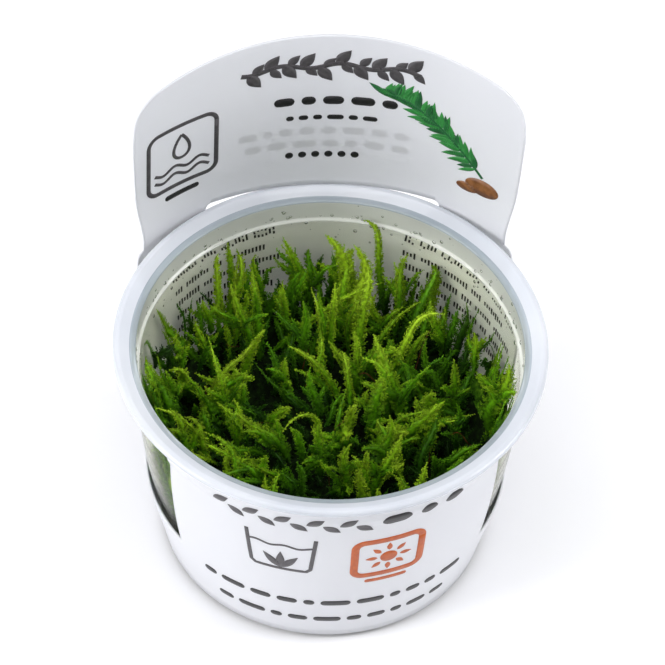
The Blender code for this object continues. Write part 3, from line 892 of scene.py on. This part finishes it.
def sheet_grid():
    """The sheet as one grid of columns and rows, with windows and slot left out."""
    slot = np.linspace(-SLOT_END_ANGLE, SLOT_END_ANGLE, 61)
    neck = np.linspace(SLOT_END_ANGLE, HEADER_EDGE_ANGLE, 31)[1:]
    back = np.linspace(HEADER_EDGE_ANGLE, BACK_PANEL_ANGLE, 16)[1:]
    side = np.linspace(BACK_PANEL_ANGLE, FRONT_PANEL_ANGLE, 23)[1:]
    front = np.linspace(FRONT_PANEL_ANGLE, 360 - FRONT_PANEL_ANGLE, 91)[1:-1]
    right = np.concatenate([neck, back, side])
    columns = np.concatenate([-right[::-1], slot, right, front])
    turn = np.where(columns > 180, columns - 360, columns)[:, None]
    band = np.linspace(SHEET_FOOT, WINDOW_SILL, 10)
    panel = np.concatenate([np.linspace(WINDOW_SILL, 44, 19)[1:], np.linspace(44, SLOT_BOTTOM, 31)[1:]])
    half_slot = (SLOT_TOP - SLOT_BOTTOM) / 2
    slot_rows = SLOT_BOTTOM + half_slot - half_slot * np.cos(np.linspace(0, math.pi, 13))
    shares = 1 - (1 - np.linspace(0, 1, 37)[1:]) ** 1.3
    sill_row, panel_row = len(band) - 1, len(band) + len(panel) - 1
    slot_row = panel_row + len(slot_rows) - 1

    low = np.concatenate([band, panel])[None, :]
    beyond = smooth_step((np.abs(turn) - HEADER_EDGE_ANGLE) / SHOULDER_SPAN)
    beyond = beyond * (np.abs(turn) <= BACK_PANEL_ANGLE)
    drop = SHOULDER_DROP * beyond * smooth_step((low - SHOULDER_START) / (SLOT_BOTTOM - SHOULDER_START))
    low_grid = sheet_points(turn + 0 * low, low - drop)

    middle = slot_rows[1:][None, :]
    ease = np.clip((HEADER_EDGE_ANGLE - np.abs(turn)) / (HEADER_EDGE_ANGLE - SLOT_END_ANGLE), 0, 1)
    bulge = np.sqrt(np.maximum(1 - ((middle - SLOT_BOTTOM - half_slot) / half_slot) ** 2, 0))
    slot_turn = turn + np.sign(turn) * SLOT_BULGE_ANGLE * ease * bulge
    slot_grid = sheet_points(slot_turn, middle + 0 * turn)

    fraction = np.clip(turn / HEADER_EDGE_ANGLE, -1, 1)
    heights = SLOT_TOP + shares[None, :] * (header_top(fraction) - SLOT_TOP)
    flare = HEADER_FLARE_ANGLE * (heights - SLOT_TOP) / (SHEET_TOP - SLOT_TOP)
    header_grid = sheet_points(turn + fraction * flare, heights)

    points = np.concatenate([low_grid, slot_grid, header_grid], 1)
    rows = points.shape[1]
    middles = np.abs((turn[:, 0] + np.roll(turn[:, 0], -1)) / 2)
    middles = np.where(np.abs(turn[:, 0] - np.roll(turn[:, 0], -1)) > 180, 180, middles)[:, None]
    row = np.arange(rows - 1)[None, :]
    in_header = middles < HEADER_EDGE_ANGLE
    covered = (middles < BACK_PANEL_ANGLE) | (middles > FRONT_PANEL_ANGLE)
    covered = (row < sill_row) | covered & (row < panel_row)
    covered |= (row >= panel_row) & (row < slot_row) & (middles > SLOT_END_ANGLE) & in_header
    covered |= (row >= slot_row) & in_header
    here = np.arange(points.shape[0] * rows).reshape(-1, rows)
    beside = np.roll(here, -1, axis=0)
    faces = np.stack([here[:, :-1], here[:, 1:], beside[:, 1:], beside[:, :-1]], -1)[covered]
    used, faces = np.unique(faces, return_inverse=True)
    return points.reshape(-1, 3)[used], [faces.reshape(-1, 4)]


# White polypropylene sheet, extruded and cut: even, cool white with a satin face and a faint
# orange-peel that breaks up its highlights.
satin_sheet = {"Roughness": 0.42, "IOR": 1.49, "Transmission Weight": 0.3}
white_sheet, shader, _ = mottled(
    "white_polypropylene_sheet", satin_sheet, 45.45, {"Detail": 2.0}, [(0.3, "ECEDF2"), (0.7, "F2F3F7")]
)
where = add_node(white_sheet, "ShaderNodeTexCoord")
fine = {"Scale": 1 / (ORANGE_PEEL * MM), "Detail": 2.0}
peel = add_node(white_sheet, "ShaderNodeTexNoise", fine, {"Vector": where.outputs["Object"]})
depth = {"Strength": 0.08, "Distance": 0.05 * MM}
peel_bump = add_node(white_sheet, "ShaderNodeBump", depth, {"Height": peel.outputs["Fac"]})
wire(white_sheet, peel_bump.outputs["Normal"], shader.inputs["Normal"])
sheet = add_piece(
    "wrap_round_sheet", *sheet_grid(), white_sheet, "printed_white_sheet", replaced=["label_sleeve"]
)
thickness = sheet.modifiers.new("Thickness", "SOLIDIFY")
thickness.thickness = SHEET * MM
thickness.offset = 0.0
thickness.use_even_offset = True


# Print
# The sheet is screen printed in flat inks. The header has a garland, rules, a framed drop and a
# leafy twig, with rules on its back, the front has rules, a glass and a framed sun, and the inside
# has blocks of short ticks.
INK_LIFT = 0.06
INK_STRIPS = np.linspace(0, 1, 4)[None, :, None]
HEADER_DEGREES = 180 / math.pi / HEADER_MEAN_RADIUS
FRONT_DEGREES = 1.38
INNER_DEGREES = 1.36


def ribbon(path, width):
    """A strip of even or varying width along a path, as pairs of right and left points."""
    path = np.asarray(path, float)
    ahead = unit(np.gradient(path, axis=0))
    aside = np.stack([-ahead[:, 1], ahead[:, 0]], -1) * (np.broadcast_to(width, len(path)) / 2)[:, None]
    return np.stack([path - aside, path + aside], 1)


def rule(start, end, height, thickness):
    """A short bar along the sheet with half-round ends."""
    turn = np.linspace(-math.pi / 2, math.pi / 2, max(int((end - start) / 0.5), 9))
    across = (start + end) / 2 + (end - start) / 2 * np.sin(turn)
    from_end = np.minimum(across - start, end - across)
    inside = np.clip(1 - from_end / (thickness / 2), 0, 1)
    width = thickness * np.sqrt(1 - inside**2) + 0.02
    return ribbon(np.stack([across, np.full(len(across), height)], -1), width)


def petal(x, z, length, width, heading):
    """A leaf shape from its stalk to its point: its width is a sine that leans to the stalk."""
    t = np.linspace(0, 1, 11)
    way = np.array([math.cos(math.radians(heading)), math.sin(math.radians(heading))])
    return ribbon(np.array([x, z]) + t[:, None] * length * way, width * np.sin(math.pi * t**0.8) + 0.02)


def disc(x, z, across, tall):
    """An oval: its height is a half circle of the distance along it."""
    t = np.linspace(0, math.pi, 19)
    return ribbon(np.stack([x - across / 2 * np.cos(t), np.full(19, z)], -1), tall * np.sin(t) + 0.02)


def rounded_frame(x, z, wide, tall, corner, line):
    """The outline of a rectangle with round corners, as one closed line."""
    path = []
    for k, (right, above) in enumerate(((1, 1), (-1, 1), (-1, -1), (1, -1))):
        turn = np.linspace(0, math.pi / 2, 8) + k * math.pi / 2
        across = x + right * (wide / 2 - corner) + corner * np.cos(turn)
        up = z + above * (tall / 2 - corner) + corner * np.sin(turn)
        path += list(zip(across, up))
    path.append(path[0])
    steps = [np.linspace(a, b, 6)[:-1] for a, b in zip(path, path[1:])]
    return ribbon(np.concatenate(steps + [path[-1:]]), line)


def rules(start, end, height, thickness, longest):
    """A row of rules of differing lengths, a space apart, from start to end."""
    row = []
    while start < end - thickness:
        length = min(draw.uniform(0.35, 1.0) * longest, end - start)
        row.append(rule(start, start + length, height, thickness))
        start += length + 0.45 * thickness + 0.5
    return row


def tick_groups(start, end, height, tallest, width):
    """A row of short upright ticks of differing heights, in groups of three to nine."""
    row = []
    while start < end - tallest:
        for _ in range(draw.integers(3, 10)):
            half = tallest * draw.uniform(0.25, 0.5)
            row.append(ribbon([(start, height - half), (start, height + half)], width))
            start += 1.9 * width
        start += 2.2 * width
    return row


def print_on(shapes, middle, degrees, inward):
    """Lays flat shapes on the sheet, as ink half sunk in its face: distance from the panel's middle
    becomes angle."""
    side = -1 if inward else 1
    sense = 1 if inward else -1
    lifts = (side * (SHEET / 2 + INK_LIFT), side * (SHEET / 2 - INK_LIFT))
    points, faces = [], []
    count = 0
    for shape in shapes:
        shape = shape[:, :1] * (1 - INK_STRIPS) + shape[:, 1:] * INK_STRIPS
        angle, height = middle + sense * degrees * shape[..., 0], shape[..., 1]
        points += [sheet_points(angle, height, lift).reshape(-1, 3) for lift in lifts]
        top, low = count + np.arange(2 * angle.size).reshape(2, *angle.shape)
        ends = [np.stack([low[0, :-1], top[0, :-1], top[0, 1:], low[0, 1:]], -1)]
        ends += [np.stack([low[-1, 1:], top[-1, 1:], top[-1, :-1], low[-1, :-1]], -1)]
        faces += ends + [
            np.stack([top[:-1, :-1], top[1:, :-1], top[1:, 1:], top[:-1, 1:]], -1).reshape(-1, 4),
            np.stack([low[:-1, :-1], low[:-1, 1:], low[1:, 1:], low[1:, :-1]], -1).reshape(-1, 4),
            np.stack([low[:-1, 0], low[1:, 0], top[1:, 0], top[:-1, 0]], -1),
            np.stack([top[:-1, -1], top[1:, -1], low[1:, -1], low[:-1, -1]], -1),
        ]
        count += 2 * angle.size
    return np.concatenate(points), [np.concatenate(faces)]


def add_print(name, ink_name, dark, light, *panels):
    """One ink as one piece. Screen ink is a flat, slightly uneven coat with a satin dry face. Each
    panel gives its shapes and the place that they are printed on."""
    stops = [(0.35, dark), (0.65, light)]
    ink, _, _ = mottled(ink_name, {"Roughness": 0.45}, 1.4286, {"Detail": 2.0}, stops)
    laid = joined([print_on(shapes, *place) for shapes, place in panels])
    add_piece(name, *laid, ink, "printed_white_sheet", sharp=0)


header, header_back = (0, HEADER_DEGREES, True), (0, HEADER_DEGREES, False)
front, inner = (180, FRONT_DEGREES, False), (0, INNER_DEGREES, True)


def garland_height(x):
    """Height of the garland's cord: a gentle sine wave."""
    return 97.6 + 0.7 * np.sin(0.45 * x)


cord = np.linspace(-20, 22, 60)
garland = [ribbon(np.stack([cord, garland_height(cord)], -1), 1.3)]
for k, x in enumerate(np.linspace(-18.5, 19, 10)):
    lean = 1 if k % 2 else -1
    garland += [petal(x, garland_height(x), 5.4, 3.0, 52 * lean)]
    garland += [petal(x + 1.2, garland_height(x), 4.0, 2.2, -46 * lean)]
wave = np.linspace(-41.5, -27.5, 30)
drop_turn = np.linspace(0, math.tau, 40)
drop_side = 2.6 * np.sin(drop_turn) * np.sin(drop_turn / 2) ** 0.9
drop = np.stack([-34.5 + drop_side, 82 + 3.6 * np.cos(drop_turn)], -1)
framed_drop = [rounded_frame(-34.5, 79.5, 17.5, 18.5, 2.6, 1.1), ribbon(drop, 0.8)]
framed_drop += [ribbon(np.stack([wave, z + 0.7 * np.sin(wave)], -1), 0.8) for z in (73.4, 75.8)]
sides = [((-19.5, 43.5), (-18.5, 32)), ((-17.6, 31), (-6.4, 31)), ((-5.5, 32), (-4.5, 43.5))]
glass = [
    ribbon(np.concatenate([np.linspace(start, end, 14) for start, end in sides]), 0.9),
    ribbon(np.stack([np.linspace(-19, -5, 24), 40 + 0.35 * np.sin(np.linspace(0, 14, 24))], -1), 0.6),
]
glass += [petal(-12, 31.5, 6.2, 1.9, 90 + lean) for lean in (-38, 0, 38)]
leaf_row = [petal(x, 49.4, 4.4, 2.2, 34 * (-1) ** k) for k, x in enumerate(np.arange(-27, 6, 3.4))]
add_print(
    "dark_grey_print",
    "dark_grey_screen_ink",
    "3F3C3F",
    "4B484B",
    (garland + framed_drop, header),
    (glass + leaf_row, front),
)

header_rules = rules(-12, 17, 86.6, 2.5, 6.5) + rules(-9, 14, 81.2, 1.4, 4.0)
header_rules += [disc(x, 69.2, 1.9, 1.9) for x in np.arange(-8, 9, 3.1)] + [rule(-39, -30, 67.4, 1.4)]
front_rules = rules(9, 28, 49.8, 3.6, 7.5) + rules(-32, 33, 17.4, 2.0, 7.0) + rules(-29, 30, 9.4, 2.0, 7.0)
inner_rules = []
for block_start, block_end in ((-37, -6), (19, 55)):
    for k, z in enumerate(np.arange(52.0, 30.0, -3.9)):
        row_end = block_end - draw.uniform(0, 6)
        inner_rules += tick_groups(block_start, row_end, z, *((2.2, 0.62) if k == 0 else (1.9, 0.46)))
back_rules = rules(-20, 21, 76.6, 2.2, 6.0) + rules(-20, 22, 72.4, 2.2, 6.0)
add_print(
    "black_print",
    "black_screen_ink",
    "151416",
    "201E21",
    (header_rules, header),
    (front_rules, front),
    (inner_rules, inner),
    (back_rules, header_back),
)

sun = [rounded_frame(11.2, 35.6, 14.8, 13.0, 2.2, 1.7), disc(11.2, 35.6, 3.8, 3.8)]
sun += [rule(6.4, 16.0, 26.6, 1.2)]
for ray in np.arange(8) * math.pi / 4:
    x, z = 11.2 + 2.5 * math.cos(ray), 35.6 + 2.5 * math.sin(ray)
    sun += [petal(x, z, 2.6, 1.2, math.degrees(ray))]
add_print("orange_print", "burnt_orange_screen_ink", "A8480C", "B9560F", (sun, front))

twig = np.stack([np.linspace(38, 14, 40), 70 + 20 * np.sin(np.linspace(0.1, 1.45, 40))], -1)
leaves_near, leaves_far = [], []
for k, (x, z) in enumerate(twig[3:]):
    for side in (-1, 1):
        length, width = draw.uniform(3.6, 6.0), draw.uniform(1.1, 1.8)
        leaf = petal(x, z, length, width, 150 - 1.2 * k + side * draw.uniform(28, 60))
        (leaves_near if draw.uniform() < 0.55 else leaves_far).append(leaf)
leaves_far.append(ribbon(twig, 0.7))
add_print("dark_green_print", "dark_green_screen_ink", "14552A", "1D6433", (leaves_far, header))
add_print("green_print", "leaf_green_screen_ink", "257A35", "348C40", (leaves_near, header))
brown_ovals = [disc(38.2, 69.2, 8.4, 4.6), disc(34.6, 67.6, 5.4, 2.6)]
add_print("brown_print", "brown_screen_ink", "6A3F1E", "8A5A32", (brown_ovals, header))


# Studio
# A pale seamless floor under soft light: wide lamps above, from the left and from the right, and
# an even white surround.
FLOOR_HALF = 3.0
FLOOR_DROP = 0.0002
CAMERA_DISTANCE = 1.0858
CAMERA_ELEVATION = math.radians(49.5)
CAMERA_AZIMUTH = math.radians(-4.7)
CAMERA_ROLL = math.radians(2.7)
CAMERA_SIDESTEP = 0.00025
CAMERA_TARGET = (0.0, 0.0, 0.06205)
SENSOR = 36.0
FOCAL_PIXELS = 5000.0
FRAME_PIXELS = 665.0

floor_paint, _, _ = mottled(
    "pale_floor_paint", {"Roughness": 0.6}, 333.3, {"Detail": 2.0}, [(0.3, "F4F4F6"), (0.7, "F8F8FA")]
)
floor_mesh = bpy.data.meshes.new("studio_floor")
floor_plan = FLOOR_HALF * np.array([(-1, -1), (1, -1), (1, 1), (-1, 1)])
floor_mesh.from_pydata([(x, y, -FLOOR_DROP) for x, y in floor_plan], [], [(0, 1, 2, 3)])
floor_mesh.materials.append(floor_paint)
studio_floor = bpy.data.objects.new("studio_floor", floor_mesh)
bpy.context.scene.collection.objects.link(studio_floor)


def put_up(name, data, right, up, back, place):
    """Puts a lamp or the camera at its place, facing away from back."""
    held = bpy.data.objects.new(name, data)
    rows = [(right[k], up[k], back[k], place[k]) for k in range(3)]
    held.matrix_world = Matrix(rows + [(0, 0, 0, 1)])
    bpy.context.scene.collection.objects.link(held)
    return held


def add_lamp(name, place, aim, size, power):
    """A square lamp that faces its aim."""
    lamp = bpy.data.lights.new(name, "AREA")
    lamp.shape = "SQUARE"
    lamp.size = size
    lamp.energy = power
    back = unit(np.array(place, float) - np.array(aim, float))
    right = unit(np.cross((0, 1, 0.001), back))
    put_up(name, lamp, right, np.cross(back, right), back, place)


add_lamp("lamp_above", (-0.05, -0.15, 1.1), (0, 0, 0.03), 0.7, 4.5)
add_lamp("lamp_left", (-1.15, -0.35, 0.6), (0, 0, 0.06), 0.6, 12.0)
add_lamp("lamp_right", (1.1, -0.1, 0.8), (0, 0, 0.06), 0.6, 8.8)

surround = bpy.data.worlds.new("white_surround")
surround.use_nodes = True
surround.node_tree.nodes["Background"].inputs["Color"].default_value = linear("FBFCFF")
surround.node_tree.nodes["Background"].inputs["Strength"].default_value = 0.54
bpy.context.scene.world = surround
bpy.context.scene.view_settings.view_transform = "Standard"

level = math.cos(CAMERA_ELEVATION)
back = np.array(
    [math.sin(CAMERA_AZIMUTH) * level, -math.cos(CAMERA_AZIMUTH) * level, math.sin(CAMERA_ELEVATION)]
)
right = np.array([math.cos(CAMERA_AZIMUTH), math.sin(CAMERA_AZIMUTH), 0.0])
up = np.cross(back, right)
rolled_right = math.cos(CAMERA_ROLL) * right + math.sin(CAMERA_ROLL) * up
rolled_up = -math.sin(CAMERA_ROLL) * right + math.cos(CAMERA_ROLL) * up
place = np.array(CAMERA_TARGET) + CAMERA_SIDESTEP * right + CAMERA_DISTANCE * back
lens = bpy.data.cameras.new("studio_camera")
lens.sensor_width = SENSOR
lens.lens = FOCAL_PIXELS / FRAME_PIXELS * SENSOR
lens.clip_end = 20.0
bpy.context.scene.camera = put_up("studio_camera", lens, rolled_right, rolled_up, back, place)
